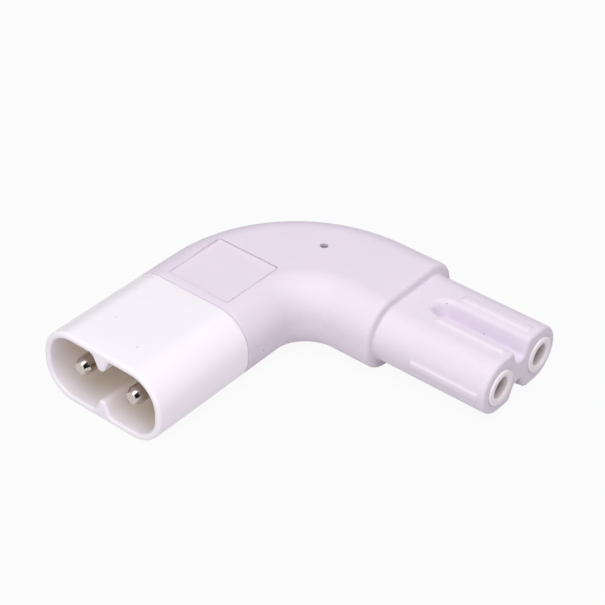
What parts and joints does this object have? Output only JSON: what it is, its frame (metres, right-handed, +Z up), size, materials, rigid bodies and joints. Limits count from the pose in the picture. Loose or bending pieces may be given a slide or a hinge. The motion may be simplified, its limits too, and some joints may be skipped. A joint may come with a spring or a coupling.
{
  "type": "right-angle mains adapter",
  "caption": "Flat right-angle mains adapter in white moulded plastic, with a keyed figure-eight inlet at one end and a ribbed figure-eight plug nose at the other.",
  "frame": {"origin": "middle of the adapter's footprint, on the flat face that it lies on", "axes": "+Z up out of that face, +X the way the plug nose points, -Y the way the inlet faces"},
  "size_m": [0.0466, 0.045, 0.0105],
  "materials": {
    "shell_plastic": "smooth moulded rigid plastic, cool white, slightly glossy",
    "elbow_pvc": "fine matte overmoulded soft PVC, white with a faint lilac tint",
    "carrier_plastic": "smooth moulded rigid plastic, white",
    "pin_nickel": "turned brass with bright nickel plating",
    "contact_brass": "turned brass",
    "link_copper": "stamped bare copper strip"
  },
  "bodies": {
    "root": {"inlet_shell": "shell_plastic", "elbow_body": "elbow_pvc", "contact_carrier": "carrier_plastic", "inner_pin": "pin_nickel", "outer_pin": "pin_nickel", "inner_contact": "contact_brass", "outer_contact": "contact_brass", "inner_link": "link_copper", "outer_link": "link_copper"}
  },
  "joints": []
}
